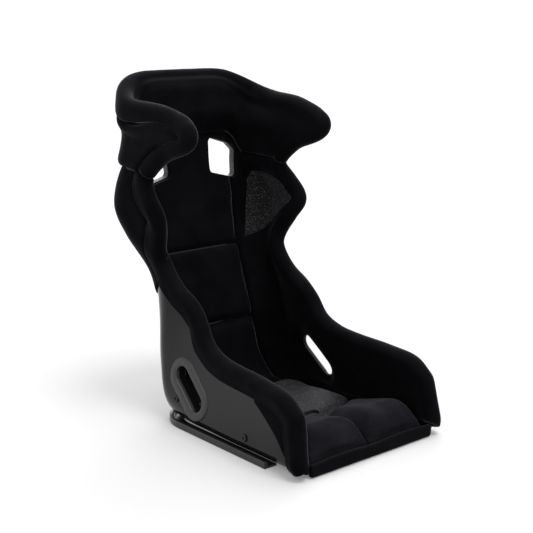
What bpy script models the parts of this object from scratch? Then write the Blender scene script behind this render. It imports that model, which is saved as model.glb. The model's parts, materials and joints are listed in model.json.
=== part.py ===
"""One-piece racing bucket seat with head guard: shell, fitted pads, belt openings and mounting inserts.

The occupant faces -Y and the floor is Z = 0. Every shell and pad follows one curved reference surface,
the inner face of the moulded shell. A place on it has two coordinates: u runs along the spine from the
front edge to the top of the head, and a is the distance in metres across the seat from its centre line.
"""

import math

import bmesh
import bpy
from mathutils import Matrix, Vector

# Driving dimensions, in metres
COVER_EDGE = 0.192            # outer covers start this far from the centre line, clear of the belt holes
DEPTH_SHIFT = -0.3987         # moves the finished seat so that its footprint is centred on the origin
SHELL_THICK = 0.0045
PAD_GAP = 0.0030              # fitted pads stand this far off the shell
EDGE_GAP = 0.0035             # rolls stand this far off its cut edge
TAPE_GAP = 0.0022             # removable pads leave room for hook-and-loop tape
ROLL_GAP = 0.0042             # rolls stand this far off the outside of the shell
TOUCH_GAP = 0.0004            # clearance between parts that touch
COVER_MARGIN = 0.005          # outer covers start this far from the end of a roll
REAR_GAP = 0.0014             # belt hole trims stand this far off the back of the shell
COVER_THICK = 0.008           # outer cover panels
ROLL_INNER = 0.027            # rim roll: foam inside the shell edge
ROLL_OUTER = 0.021            # rim roll: foam outside the shell edge
ROLL_BAND = 0.034             # how far the roll reaches down the outside of the shell
HEAD_BAND = 0.044             # the same behind the head
TIP_BAND = 0.016              # the same at the tip of the head guard
NOSE_STEPS = 5
BAND_STEPS = 2
SEAM = 0.0012                 # half the gap between neighbouring pads

# Stations along the seat: spine y, z | rim y, z | half width at the base, at the rim | corner radius
STATIONS = (
    (0.000, 0.012, 0.026, 0.145, 0.241, 0.229, 0.030),   # front edge
    (0.060, 0.012, 0.075, 0.178, 0.244, 0.228, 0.030),
    (0.160, 0.012, 0.170, 0.189, 0.245, 0.222, 0.030),
    (0.270, 0.012, 0.265, 0.194, 0.246, 0.217, 0.030),
    (0.370, 0.012, 0.345, 0.205, 0.247, 0.213, 0.034),
    (0.465, 0.012, 0.405, 0.235, 0.250, 0.207, 0.042),
    (0.556, 0.024, 0.440, 0.283, 0.254, 0.202, 0.065),   # pan turns into the back
    (0.602, 0.105, 0.475, 0.318, 0.256, 0.198, 0.088),
    (0.628, 0.210, 0.535, 0.352, 0.256, 0.200, 0.096),
    (0.660, 0.310, 0.583, 0.400, 0.258, 0.203, 0.092),
    (0.700, 0.410, 0.599, 0.450, 0.266, 0.217, 0.085),   # waist
    (0.728, 0.500, 0.570, 0.510, 0.280, 0.235, 0.075),
    (0.746, 0.570, 0.550, 0.555, 0.284, 0.253, 0.070),   # shoulder
    (0.760, 0.625, 0.595, 0.607, 0.266, 0.250, 0.075),
    (0.768, 0.670, 0.624, 0.655, 0.240, 0.237, 0.080),   # neck
    (0.772, 0.725, 0.550, 0.720, 0.212, 0.232, 0.080),
    (0.776, 0.780, 0.450, 0.757, 0.214, 0.232, 0.092),
    (0.787, 0.840, 0.433, 0.785, 0.245, 0.232, 0.108),   # tip of the head guard
    (0.797, 0.899, 0.462, 0.808, 0.258, 0.228, 0.138),   # top edge
)
LAST = len(STATIONS) - 1

# Half widths, measured across the surface, where the side bolsters begin, at chosen stations
INNER_EDGE = ((0, 0.236), (3, 0.236), (4, 0.228), (5, 0.200), (6, 0.160), (7, 0.136), (8, 0.128),
              (10, 0.130), (11, 0.140), (12, 0.148), (LAST, 0.150))

# Seams along the spine
CUSHION_END = 5.55
LUMBAR_START = 8.0
UPPER_START = 10.05
HEAD_START = 15.25
NECK = 14.12
NECK_SEAM = 0.02              # half the gap there, in stations
PAD_SEAM = 0.025              # half the gap between back pads, in stations

DIP_START = 15.0              # the top edge dips where the back of the head guard meets the wings
DIP = 0.028
DIP_CENTRE = 0.30             # distance across from the centre line
DIP_WIDTH = 0.18


def smooth(t):
    """Ease from 0 to 1."""
    t = min(max(t, 0.0), 1.0)
    return t * t * (3 - 2 * t)


def mix(low, high, t):
    return low + (high - low) * t


def table(rows, key):
    """Linear look-up in rows of (key, value)."""
    for (k0, v0), (k1, v1) in zip(rows, rows[1:]):
        if key <= k1:
            return mix(v0, v1, max(0.0, (key - k0) / (k1 - k0)))
    return rows[-1][1]


# The reference surface -------------------------------------------------------------------------

def station(u):
    """Station values at u, by a Catmull-Rom spline through the table."""
    u = min(max(u, 0.0), float(LAST))
    i = min(int(u), LAST - 1)
    t = u - i
    rows = [STATIONS[min(max(k, 0), LAST)] for k in (i - 1, i, i + 1, i + 2)]
    if i == 0:
        rows[0] = tuple(2 * a - b for a, b in zip(STATIONS[0], STATIONS[1]))
    if i == LAST - 1:
        rows[3] = tuple(2 * a - b for a, b in zip(STATIONS[LAST], STATIONS[LAST - 1]))
    out = []
    for p0, p1, p2, p3 in zip(*rows):
        slope1, slope2 = (p2 - p0) / 2, (p3 - p1) / 2
        out.append(p1 * (1 + 2 * t) * (1 - t) ** 2 + slope1 * t * (1 - t) ** 2
                   + p2 * t * t * (3 - 2 * t) + slope2 * t * t * (t - 1))
    return out


def profile(u):
    """Lengths of the flat, the corner and the wall of the section at u, with its directions."""
    sy, sz, ey, ez, base, rim, radius = station(u)
    depth = math.hypot(ey - sy, ez - sz)
    turn = math.atan2(depth, rim - base)
    tangent = radius * math.tan(turn / 2)
    flat = base - tangent
    wall = math.hypot(depth, rim - base) - tangent
    return flat, radius * turn, wall, turn, radius, (sy, sz), ((ey - sy) / depth, (ez - sz) / depth)


def reach(u):
    """Distance across the surface from the centre line to the rim."""
    flat, corner, wall = profile(u)[:3]
    return flat + corner + wall


def place(u, a):
    """Point of the reference surface; a may be negative, and may run past the rim."""
    flat, corner, _, turn, radius, start, rise = profile(u)
    d = abs(a)
    if d <= flat:
        x, h = d, 0.0
    elif d <= flat + corner:
        phi = (d - flat) / radius
        x, h = flat + radius * math.sin(phi), radius * (1 - math.cos(phi))
    else:
        run = d - flat - corner
        x = flat + radius * math.sin(turn) + run * math.cos(turn)
        h = radius * (1 - math.cos(turn)) + run * math.sin(turn)
    swell = smooth((u - DIP_START) / (LAST - DIP_START))
    dip = DIP * swell * smooth(1 - abs(d - DIP_CENTRE) / DIP_WIDTH)
    return Vector((math.copysign(x, a), start[0] + rise[0] * h + DEPTH_SHIFT, start[1] + rise[1] * h - dip))


def frame_at(u, a):
    """Surface derivatives along u and a, and the unit normal towards the occupant."""
    u0, u1 = max(u - 0.02, 0.0), min(u + 0.02, float(LAST))
    along = (place(u1, a) - place(u0, a)) / (u1 - u0)
    across = (place(u, a + 0.0005) - place(u, a - 0.0005)) / 0.001
    return along, across, across.cross(along).normalized()


def surface_step(direction, along, across):
    """Changes of u and a that move a point by a unit direction in the surface."""
    uu, ua, aa = along.length_squared, along.dot(across), across.length_squared
    right_u, right_a = direction.dot(along), direction.dot(across)
    scale = uu * aa - ua * ua
    return (aa * right_u - ua * right_a) / scale, (uu * right_a - ua * right_u) / scale


def lifted(u, a, lift):
    """Point at a height above the reference surface."""
    return place(u, a) + frame_at(u, a)[2] * lift


# Mesh building -----------------------------------------------------------------------------------

def material(name, colour, roughness, metallic=0.0):
    mat = bpy.data.materials.get(name) or bpy.data.materials.new(name)
    mat.use_nodes = True
    shader = mat.node_tree.nodes["Principled BSDF"]
    shader.inputs["Base Color"].default_value = (*colour, 1.0)
    shader.inputs["Roughness"].default_value = roughness
    shader.inputs["Metallic"].default_value = metallic
    mat.diffuse_color = (*colour, 1.0)
    return mat


def velour(name):
    return material(name, (0.012, 0.012, 0.014), 0.95)


def add_object(name, verts, faces, mat, rounded=True):
    """Closed mesh object from points and faces."""
    mesh = bpy.data.meshes.new(name)
    mesh.from_pydata([tuple(v) for v in verts], [], faces)
    bm = bmesh.new()
    bm.from_mesh(mesh)
    bmesh.ops.recalc_face_normals(bm, faces=bm.faces)
    bm.to_mesh(mesh)
    bm.free()
    for face in mesh.polygons:
        face.use_smooth = rounded
    mesh.materials.append(mat)
    obj = bpy.data.objects.new(name, mesh)
    bpy.context.scene.collection.objects.link(obj)
    return obj


class Panel:
    """A grid of (u, a) places, turned into a closed solid with plain or rolled edges.

    rolled names the edges that wrap round the shell: "rim" at the end of a, "left" at its start,
    "front" at the start of u and "top" at its end.
    """

    def __init__(self, grid, front, back, rolled=(), band=None):
        self.grid, self.front, self.back, self.rolled, self.band = grid, front, back, rolled, band
        self.rows, self.cols = len(grid), len(grid[0])
        self.verts, self.faces = [], []

    def loop(self):
        """Boundary cells in order, with the edge that each stretch after them belongs to."""
        rows, cols = self.rows, self.cols
        cells = [((0, j), "front") for j in range(cols - 1)]
        cells += [((i, cols - 1), "rim") for i in range(rows - 1)]
        cells += [((rows - 1, j), "top") for j in range(cols - 1, 0, -1)]
        cells += [((i, 0), "left") for i in range(rows - 1, 0, -1)]
        return cells

    def point(self, u, a, lift):
        self.verts.append(lifted(u, a, lift))
        return len(self.verts) - 1

    def outward(self, before, here, after):
        """Direction out of the panel, in the surface, at one boundary cell."""
        tangent = place(*after) - place(*before)
        return tangent.cross(frame_at(*here)[2]).normalized()

    def beyond(self, before, here):
        """The place on the rim one step past the end of the panel, or the end itself on a front edge."""
        if before[0] == here[0]:
            return here
        u = min(max(2 * here[0] - before[0], 0.0), float(LAST))
        return u, math.copysign(reach(u), here[1])

    def ladder(self, here, out, first, last):
        """Matched outer and inner points round the shell's edge at one boundary cell."""
        u, a = here
        along, across, normal = frame_at(u, a)
        du, da = surface_step(out, along, across)
        edge = place(u, a)
        outer, inner = [first], [last]
        centre, radius = (ROLL_INNER - ROLL_OUTER) / 2, (ROLL_INNER + ROLL_OUTER) / 2
        under = SHELL_THICK + ROLL_GAP
        for k in range(1, NOSE_STEPS + 1):
            phi = math.pi / 2 - math.pi * k / NOSE_STEPS
            rise = centre + radius * math.sin(phi)
            self.verts.append(edge + out * (radius * math.cos(phi)) + normal * rise)
            outer.append(len(self.verts) - 1)
            self.verts.append(edge + out * EDGE_GAP + normal * mix(PAD_GAP, -under, k / NOSE_STEPS))
            inner.append(len(self.verts) - 1)
        for k in range(1, BAND_STEPS + 1):
            t = k / BAND_STEPS
            s = self.band(u, a) * t
            cu, ca = min(max(u - du * s, 0.0), LAST), a - da * s
            outer.append(self.point(cu, ca, -mix(ROLL_OUTER, under + COVER_THICK, smooth(t))))
            inner.append(self.point(cu, ca, -under))
        return outer, inner

    def strip(self, p, q):
        """Faces between the ladders of two neighbouring boundary cells."""
        for side in (0, 1):
            for k in range(len(p[0]) - 1):
                quad = (p[side][k], p[side][k + 1], q[side][k + 1], q[side][k])
                self.faces.append(quad)
        self.faces.append((p[0][-1], p[1][-1], q[1][-1], q[0][-1]))

    def cap(self, p):
        for k in range(len(p[0]) - 1):
            self.faces.append((p[0][k], p[0][k + 1], p[1][k + 1], p[1][k]))

    def build(self, name, mat):
        cells = self.loop()
        count = len(cells)
        tops = [[0] * self.cols for _ in range(self.rows)]
        backs = [[0] * self.cols for _ in range(self.rows)]
        rolled_cells = {}
        for n, (cell, side) in enumerate(cells):
            if side in self.rolled or cells[n - 1][1] in self.rolled:
                here = self.grid[cell[0]][cell[1]]
                before, after = [self.grid[i][j] for i, j in (cells[n - 1][0], cells[(n + 1) % count][0])]
                if side not in self.rolled:
                    after = self.beyond(before, here)
                if cells[n - 1][1] not in self.rolled:
                    before = self.beyond(after, here)
                rolled_cells[cell] = self.outward(before, here, after)
        for i, row in enumerate(self.grid):
            for j, (u, a) in enumerate(row):
                on_roll = (i, j) in rolled_cells
                lift = ROLL_INNER if on_roll else self.front(u, a, i / (self.rows - 1), j / (self.cols - 1))
                tops[i][j] = self.point(u, a, lift)
                backs[i][j] = self.point(u, a, self.back)
                if on_roll:
                    self.verts[-1] += rolled_cells[(i, j)] * EDGE_GAP
        for i in range(self.rows - 1):
            for j in range(self.cols - 1):
                for net in (tops, backs):
                    self.faces.append((net[i][j], net[i + 1][j], net[i + 1][j + 1], net[i][j + 1]))
        ladders = {c: self.ladder(self.grid[c[0]][c[1]], out, tops[c[0]][c[1]], backs[c[0]][c[1]])
                   for c, out in rolled_cells.items()}
        for n, (cell, side) in enumerate(cells):
            nxt = cells[(n + 1) % count][0]
            if side in self.rolled:
                self.strip(ladders[cell], ladders[nxt])
            else:
                (i, j), (k, m) = cell, nxt
                self.faces.append((tops[i][j], tops[k][m], backs[k][m], backs[i][j]))
            if (side in self.rolled) != (cells[n - 1][1] in self.rolled):
                self.cap(ladders[cell])
        return add_object(name, self.verts, self.faces, mat)


def grid_of(rows, cols, where):
    """Grid of (u, a) places from where(s, t), with s and t from 0 to 1."""
    return [[where(i / rows, j / cols) for j in range(cols + 1)] for i in range(rows + 1)]


def solve(function, target, low, high):
    """Where a rising function reaches the target."""
    for _ in range(40):
        middle = (low + high) / 2
        low, high = (middle, high) if function(middle) < target else (low, middle)
    return low


def u_at_depth(y):
    """Station of a point on the pan, y metres behind the front edge."""
    return solve(lambda u: station(u)[0], y, 0.0, 6.0)


def u_at_height(z):
    """Station of a point on the back, z metres above the floor."""
    return solve(lambda u: station(u)[1], z, 6.0, LAST)


def pillow(full, edge=0.62, width=0.22):
    """Lift that swells from the edges of a pad to its full height."""
    def lift(u, a, s, t):
        height = full(u, a) if callable(full) else full
        nearest = min(s, 1 - s, t, 1 - t)
        return height * mix(edge, 1.0, math.sqrt(smooth(nearest / width)))
    return lift


def mirrored(obj, name):
    """The same part for the other side of the seat, as a mesh of its own."""
    mesh = obj.data.copy()
    mesh.transform(Matrix.Diagonal((-1, 1, 1, 1)))
    mesh.flip_normals()
    twin = bpy.data.objects.new(name, mesh)
    bpy.context.scene.collection.objects.link(twin)
    for mod in obj.modifiers:
        copy = twin.modifiers.new(mod.name, mod.type)
        copy.object, copy.operation, copy.solver = mod.object, mod.operation, mod.solver
    return twin


def cut(obj, cutter):
    mod = obj.modifiers.new("opening", "BOOLEAN")
    mod.object, mod.operation, mod.solver = cutter, "DIFFERENCE", "EXACT"


def as_cutter(obj):
    obj.hide_render = True
    obj.display_type = "WIRE"
    return obj


# Outlines ------------------------------------------------------------------------------------------

def stadium(centre, half_run, radius, angle, steps=8):
    """Points round a slot with round ends, anticlockwise."""
    points = []
    for end in (1, -1):
        for k in range(steps + 1):
            phi = angle - math.pi / 2 + math.pi * k / steps + (0 if end > 0 else math.pi)
            points.append((centre[0] + end * half_run * math.cos(angle) + radius * math.cos(phi),
                           centre[1] + end * half_run * math.sin(angle) + radius * math.sin(phi)))
    return points


def rounded(corners, radius, steps=4):
    """Points round a polygon with round corners, anticlockwise."""
    points = []
    for k, corner in enumerate(corners):
        here = Vector(corner)
        before, after = Vector(corners[k - 1]) - here, Vector(corners[(k + 1) % len(corners)]) - here
        half = before.angle(after) / 2
        middle = here + (before.normalized() + after.normalized()).normalized() * radius / math.sin(half)
        start = here + before.normalized() * radius / math.tan(half) - middle
        sweep = math.pi - 2 * half
        for n in range(steps + 1):
            points.append(tuple(middle + Matrix.Rotation(sweep * n / steps, 2) @ start))
    return points


def divided(outline, step=0.014):
    """The outline with its long straight stretches divided."""
    points = []
    for k, point in enumerate(outline):
        here, there = Vector(point), Vector(outline[(k + 1) % len(outline)])
        count = max(1, round((there - here).length / step))
        points += [tuple(here.lerp(there, n / count)) for n in range(count)]
    return points


def outset(outline, distance):
    """The outline moved outwards by a distance."""
    moved = []
    for k, point in enumerate(outline):
        edge = Vector(outline[(k + 1) % len(outline)]) - Vector(outline[k - 1])
        moved.append((point[0] + edge.y / edge.length * distance, point[1] - edge.x / edge.length * distance))
    return moved


def ring(name, loops, mat):
    """Closed ring through a cycle of point loops."""
    count = len(loops[0])
    verts = [p for loop in loops for p in loop]
    faces = []
    for k in range(len(loops)):
        m = (k + 1) % len(loops)
        for n in range(count):
            faces.append((k * count + n, k * count + (n + 1) % count, m * count + (n + 1) % count, m * count + n))
    return add_object(name, verts, faces, mat)


def prism(name, first, last, mat):
    """Closed solid between two matching point loops."""
    count = len(first)
    faces = [tuple(range(count)), tuple(range(2 * count - 1, count - 1, -1))]
    faces += [(k, (k + 1) % count, count + (k + 1) % count, count + k) for k in range(count)]
    return add_object(name, first + last, faces, mat)


# Shell and base ------------------------------------------------------------------------------------

BEND = (5.0, 11.0)            # the bend from pan to back and the waist take closer stations
INSERT_PLACES = (2.35, 5.45)   # stations of the side mounting inserts
INSERT_RADIUS = 0.010
INSERT_BORE = 0.0034          # tapping bore of an M8 thread
INSERT_PROUD = 0.004
SHOULDER_HOLE = ((0.071, 0.628), (0.163, 0.604), (0.172, 0.682), (0.150, 0.704), (0.074, 0.728))
SHOULDER_RADIUS = 0.014
LAP_CENTRE = (0.437, 0.1125)  # y, z of the lap belt opening in the side wall
LAP_FACE = 0.235              # distance of the shell's outer face from the centre plane there
LAP_SLOPE = (0.038, -0.182)   # slope of that face along y and z
LAP_ANGLE = math.radians(40)
LAP_RUN = 0.045
LAP_RADIUS = 0.0245
LAP_PAD = 0.014               # height of the bolster's padding round the opening
BEZEL_RADIUS = 0.047          # outer radius of the ends of the bezel
BEZEL_DEPTHS = (-0.003, 0.0058)   # its faces, from the shell's outer face
CROTCH_CENTRE = (0.0, 0.232)
CROTCH_RUN = 0.026
CROTCH_RADIUS = 0.009
SLEEVE = 0.0022               # wall of a belt sleeve


def shell_halves(u):
    """Distances from the centre line to the rim, with steps that match flat, corner and wall."""
    flat, corner, wall = profile(u)[:3]
    return [0.0] + [flat + corner * k / 8 for k in range(9)] + [flat + corner + wall / 2, reach(u)]


def build_shell():
    stations = []
    u = 0.0
    while u <= LAST:
        stations.append(u)
        u += 0.25 if BEND[0] <= u < BEND[1] else 0.5
    grid = [[(u, -a) for a in reversed(shell_halves(u)[1:])] + [(u, a) for a in shell_halves(u)]
            for u in stations]
    gloss = material("gloss_shell", (0.02, 0.02, 0.022), 0.12)
    return Panel(grid, lambda u, a, s, t: 0.0, -SHELL_THICK).build("shell", gloss)


def build_base_flange():
    """Moulded foot round the sides and rear of the base: a flat rail with an upstand along the shell."""
    half_width, front, rear, corner = 0.2495, 0.105, 0.572, 0.110
    inside, outside, wall, thick, tall = -0.030, 0.009, -0.001, 0.0055, 0.018
    path = [(half_width, front), (half_width, rear - corner)]
    for k in range(1, 9):
        phi = math.pi / 2 * k / 8
        path.append((half_width - corner * (1 - math.cos(phi)), rear - corner + corner * math.sin(phi)))
    path += [(-x, y) for x, y in reversed(path)]
    section = ((inside, 0.0), (outside, 0.0), (outside, tall), (wall, tall), (wall, thick), (inside, thick))
    verts, faces = [], []
    for k, (x, y) in enumerate(path):
        before, after = path[max(k - 1, 0)], path[min(k + 1, len(path) - 1)]
        out = Vector((after[1] - before[1], before[0] - after[0])).normalized()
        for shift, rise in section:
            verts.append((x + out.x * shift, y + out.y * shift + DEPTH_SHIFT, rise))
    count = len(section)
    for k in range(len(path) - 1):
        for n in range(count):
            m = (n + 1) % count
            faces.append((k * count + n, k * count + m, (k + 1) * count + m, (k + 1) * count + n))
    faces.append(tuple(range(count)))
    faces.append(tuple(len(verts) - 1 - n for n in range(count)))
    return add_object("base_flange", verts, faces, material("satin_flange", (0.03, 0.03, 0.032), 0.35), False)


def insert_axis(u):
    """Centre and outward direction of a side mounting insert."""
    flat, corner = profile(u)[:2]
    a = flat + corner * 1.04
    return place(u, a), -frame_at(u, a)[2]


def circle(centre, axis, radius, depth, steps=20):
    side = axis.cross(Vector((0, 0, 1))).normalized()
    up = side.cross(axis)
    return [centre + axis * depth + side * (radius * math.cos(2 * math.pi * k / steps))
            + up * (radius * math.sin(2 * math.pi * k / steps)) for k in range(steps)]


def build_inserts(shell):
    steel = material("insert_steel", (0.55, 0.55, 0.56), 0.35, 1.0)
    for name, u in zip(("side_insert_front", "side_insert_rear"), INSERT_PLACES):
        centre, axis = insert_axis(u)
        outer = SHELL_THICK + INSERT_PROUD
        part = ring(name + "_left", [circle(centre, axis, INSERT_BORE, 0.0005),
                                     circle(centre, axis, INSERT_RADIUS, 0.0005),
                                     circle(centre, axis, INSERT_RADIUS, outer),
                                     circle(centre, axis, INSERT_BORE, outer)], steel)
        for face in part.data.polygons:
            face.use_smooth = False
        mirrored(part, name + "_right")
        hole = INSERT_RADIUS + TOUCH_GAP
        cutter = as_cutter(prism(name + "_hole", circle(centre, axis, hole, -0.02),
                                 circle(centre, axis, hole, 0.03), steel))
        cut(shell, cutter)
        cut(shell, as_cutter(mirrored(cutter, name + "_hole_right")))


# Pads ------------------------------------------------------------------------------------------------

BOLSTER_COLUMNS = 10
BACK_LIFT = 0.024             # thickness of the back pads and of the bolsters beside them
UPPER_LIFT = 0.022
HEAD_LIFT = 0.052             # foam behind the head
WING_LIFT = 0.038             # foam along the top edge


def wall_share(k):
    """Share of the way from the bolster's inner edge to the rim, closer together at the corner."""
    return (k / BOLSTER_COLUMNS) ** 1.3


def head_line(t):
    """Station of the seam between bolster and head pad, t of the way to the rim."""
    return mix(HEAD_START, NECK, smooth(t / 0.3))


def lap_distance(u, a):
    """Distance of a point of the side wall from the middle line of the lap belt opening."""
    point = place(u, a)
    y, z = point.y - LAP_CENTRE[0] - DEPTH_SHIFT, point.z - LAP_CENTRE[1]
    along = min(max(y * math.cos(LAP_ANGLE) + z * math.sin(LAP_ANGLE), -LAP_RUN), LAP_RUN)
    return math.hypot(y - along * math.cos(LAP_ANGLE), z - along * math.sin(LAP_ANGLE))


def bolster_lift(u, a, s, t):
    low = mix(0.029, BACK_LIFT, smooth((u - 4) / 3))
    middle = mix(0.036, BACK_LIFT, smooth((u - 4) / 3))
    full = mix(mix(low, middle, smooth(t / 0.25)), ROLL_INNER, smooth((t - 0.3) / 0.7))
    return mix(min(full, LAP_PAD), full, smooth((lap_distance(u, a) - LAP_RADIUS - 0.003) / 0.034))


def bolster_band(u, a):
    """The roll is narrower outside the shoulder, where the rim turns tightly."""
    return mix(ROLL_BAND, 0.027, smooth(1 - abs(u - 12.0) / 1.5))


def head_band(u, a):
    """The roll narrows towards the tip of each wing."""
    along_rim = smooth((u - NECK) / 2.2)
    along_top = smooth((abs(a) / reach(u) - 0.45) / 0.5)
    return mix(HEAD_BAND, TIP_BAND, min(along_rim, along_top))


def rim_inset(u, band, margin):
    """Distance across the surface at u that keeps a margin from the roll, all along the rim nearby."""
    nearby = [min(max(u + 0.1 * k, 0.0), LAST) for k in range(-14, 15)]
    roll = [(place(v, reach(v)), band(v, reach(v))) for v in nearby]

    def gap(inset):
        here = place(u, reach(u) - inset)
        return min((here - rim).length - width for rim, width in roll)

    return solve(gap, margin, 0.0, 0.2)


def build_bolster():
    rows = 28
    grid = []
    for i in range(rows + 1):
        line = []
        for k in range(BOLSTER_COLUMNS + 1):
            t = wall_share(k)
            u = (head_line(t) - NECK_SEAM) * i / rows
            line.append((u, mix(table(INNER_EDGE, u), reach(u), t)))
        grid.append(line)
    pad = Panel(grid, bolster_lift, PAD_GAP, ("rim", "front"), bolster_band)
    return pad.build("side_bolster_left", velour("velour_bolster"))


def head_columns():
    """Shares from the right rim to the left rim, with a sign."""
    half = [wall_share(k) for k in range(BOLSTER_COLUMNS + 1)]
    return [("wall", -t) for t in reversed(half)] + [("flat", f) for f in (-0.5, 0.0, 0.5)] + \
           [("wall", t) for t in half]


def head_place(kind, share, s):
    t = abs(share) if kind == "wall" else 0.0
    u = mix(head_line(t) + NECK_SEAM, LAST, s)
    inner = table(INNER_EDGE, u)
    if kind == "flat":
        return u, share * inner
    if share == 0.0:
        return u, inner
    return u, math.copysign(mix(inner, reach(u), t), share)


def head_lift(u, a, s, t):
    """The head pad is thick behind the head and thin on the wings."""
    side = smooth((abs(a) - 0.08) / 0.25)
    deep = mix(HEAD_LIFT, ROLL_INNER, side) * mix(0.45, 1.0, smooth(s / 0.4))
    return mix(max(deep, BACK_LIFT), WING_LIFT, smooth((s - 0.75) / 0.25) * (1 - side))


def build_head_pad():
    rows = 8
    columns = head_columns()
    zero = [n for n, (kind, share) in enumerate(columns) if kind == "wall" and share == 0.0]
    grid = []
    for i in range(rows + 1):
        line = []
        for n, (kind, share) in enumerate(columns):
            u, a = head_place(kind, share, i / rows)
            line.append((u, -a if n == zero[0] else a))
        grid.append(line)
    return Panel(grid, head_lift, PAD_GAP, ("left", "top", "rim"), head_band).build("head_pad", velour("velour_head"))


def cover_panel(name, where, rows, cols, mat):
    """Thin outer cover panel on the left, with its twin on the right."""
    under = -(SHELL_THICK + ROLL_GAP)
    grid = grid_of(rows, cols, where)
    left = Panel(grid, lambda u, a, s, t: under, under - COVER_THICK).build(name + "_left", mat)
    mirrored(left, name + "_right")


def build_outer_covers():
    mat = velour("velour_outer")

    def shoulder(s, t):
        u = mix(8.9, NECK - NECK_SEAM, s)
        return u, mix(COVER_EDGE, reach(u) - rim_inset(u, bolster_band, COVER_MARGIN), t)

    def head(s, t):
        def across(u):
            return mix(COVER_EDGE, reach(u) - rim_inset(u, head_band, COVER_MARGIN), t)

        edge, along_edge = place(LAST, across(LAST)), frame_at(LAST, across(LAST))[1].normalized()
        clear = head_band(LAST, across(LAST)) + 10 * SEAM

        def below(back):
            return (place(LAST - back, across(LAST - back)) - edge).cross(along_edge).length

        u = mix(NECK + NECK_SEAM, LAST - solve(below, clear, 0.0, 2.0), s)
        return u, across(u)

    def front(s, t):
        u = mix(1.0, 1.85, s)
        hem = table(((1.0, 0.098), (1.5, 0.068), (1.85, 0.050)), u)
        return u, reach(u) - mix(hem, rim_inset(u, bolster_band, 2 * COVER_MARGIN), t)

    cover_panel("shoulder_cover", shoulder, 12, 14, mat)
    cover_panel("head_side_cover", head, 9, 14, mat)
    cover_panel("front_side_cover", front, 5, 3, mat)


def tape(name, u0, u1, half):
    """Strip of hook-and-loop tape between a removable pad and the shell."""
    grid = grid_of(6, 2, lambda s, t: (mix(u0, u1, s), mix(-half, half, t)))
    mat = material("hook_tape", (0.03, 0.03, 0.03), 0.9)
    return Panel(grid, lambda u, a, s, t: 0.0017, 0.0007).build(name, mat)


def build_back_pads():
    def panel(name, u0, u1, rows, lift):
        def where(s, t):
            u = mix(u0, u1, s)
            half = table(INNER_EDGE, u) - 3 * SEAM
            return u, mix(-half, half, t)
        return Panel(grid_of(rows, 12, where), pillow(lift), TAPE_GAP).build(name, velour("velour_" + name))

    panel("lower_back_pad", CUSHION_END + PAD_SEAM, LUMBAR_START - PAD_SEAM, 10, BACK_LIFT - 0.001)
    panel("lumbar_pad", LUMBAR_START + PAD_SEAM, UPPER_START - PAD_SEAM, 6, BACK_LIFT)
    tape("lower_back_tape", 7.0, 7.7, 0.06)
    tape("lumbar_tape", 8.4, 9.6, 0.06)
    tape("upper_back_tape", 10.5, 12.0, 0.05)
    return panel("upper_back_pad", UPPER_START + PAD_SEAM, HEAD_START - 2 * PAD_SEAM, 14, UPPER_LIFT)


CUSHION_HALF = 0.1985


def front_seam(a):
    """How far back the seam between thigh pads and seat cushion lies, a from the centre line."""
    return 0.200 + 0.080 * (abs(a) / CUSHION_HALF) ** 1.3


def build_cushions():
    def thigh(s, t):
        a = mix(SEAM, CUSHION_HALF, t)
        return u_at_depth(mix(0.006, front_seam(a) - SEAM, s)), a

    def thigh_height(u, a):
        return mix(0.092, 0.034, smooth(station(u)[0] / 0.27))

    def centre(s, t):
        a = mix(-CUSHION_HALF, CUSHION_HALF, t)
        u = mix(u_at_depth(front_seam(a) + SEAM), CUSHION_END - PAD_SEAM, s)
        half = min(CUSHION_HALF, table(INNER_EDGE, u) - 2 * SEAM)
        return u, a * half / CUSHION_HALF

    def centre_height(u, a):
        return mix(0.033, 0.023, smooth((station(u)[0] - 0.2) / 0.25))

    pad = Panel(grid_of(8, 7, thigh), pillow(thigh_height, 0.55), TAPE_GAP)
    mirrored(pad.build("thigh_pad_left", velour("velour_thigh")), "thigh_pad_right")
    tape("thigh_tape", 0.5, 1.6, 0.15)
    tape("cushion_tape", 3.4, 4.8, 0.12)
    grip = material("grip_fabric", (0.03, 0.03, 0.033), 1.0)
    return Panel(grid_of(10, 14, centre), pillow(centre_height), TAPE_GAP).build("seat_cushion", grip)


def build_front_roll():
    """Padded lip across the front edge of the pan."""
    half_width, back, front, low, high = 0.2, -0.0012, -0.014, 0.002, 0.034
    depth, height = back - front, (high - low) / 2
    section = [(back, low + 0.003), (back, high - 0.006)]
    for k in range(9):
        phi = math.pi / 2 + math.pi * k / 8
        section.append((back - 0.002 + (depth - 0.002) * math.cos(phi), low + height + height * math.sin(phi)))
    ends = [[Vector((x, y + DEPTH_SHIFT, z)) for y, z in section] for x in (-half_width, half_width)]
    prism("front_edge_roll", ends[0], ends[1], velour("velour_front"))


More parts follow.
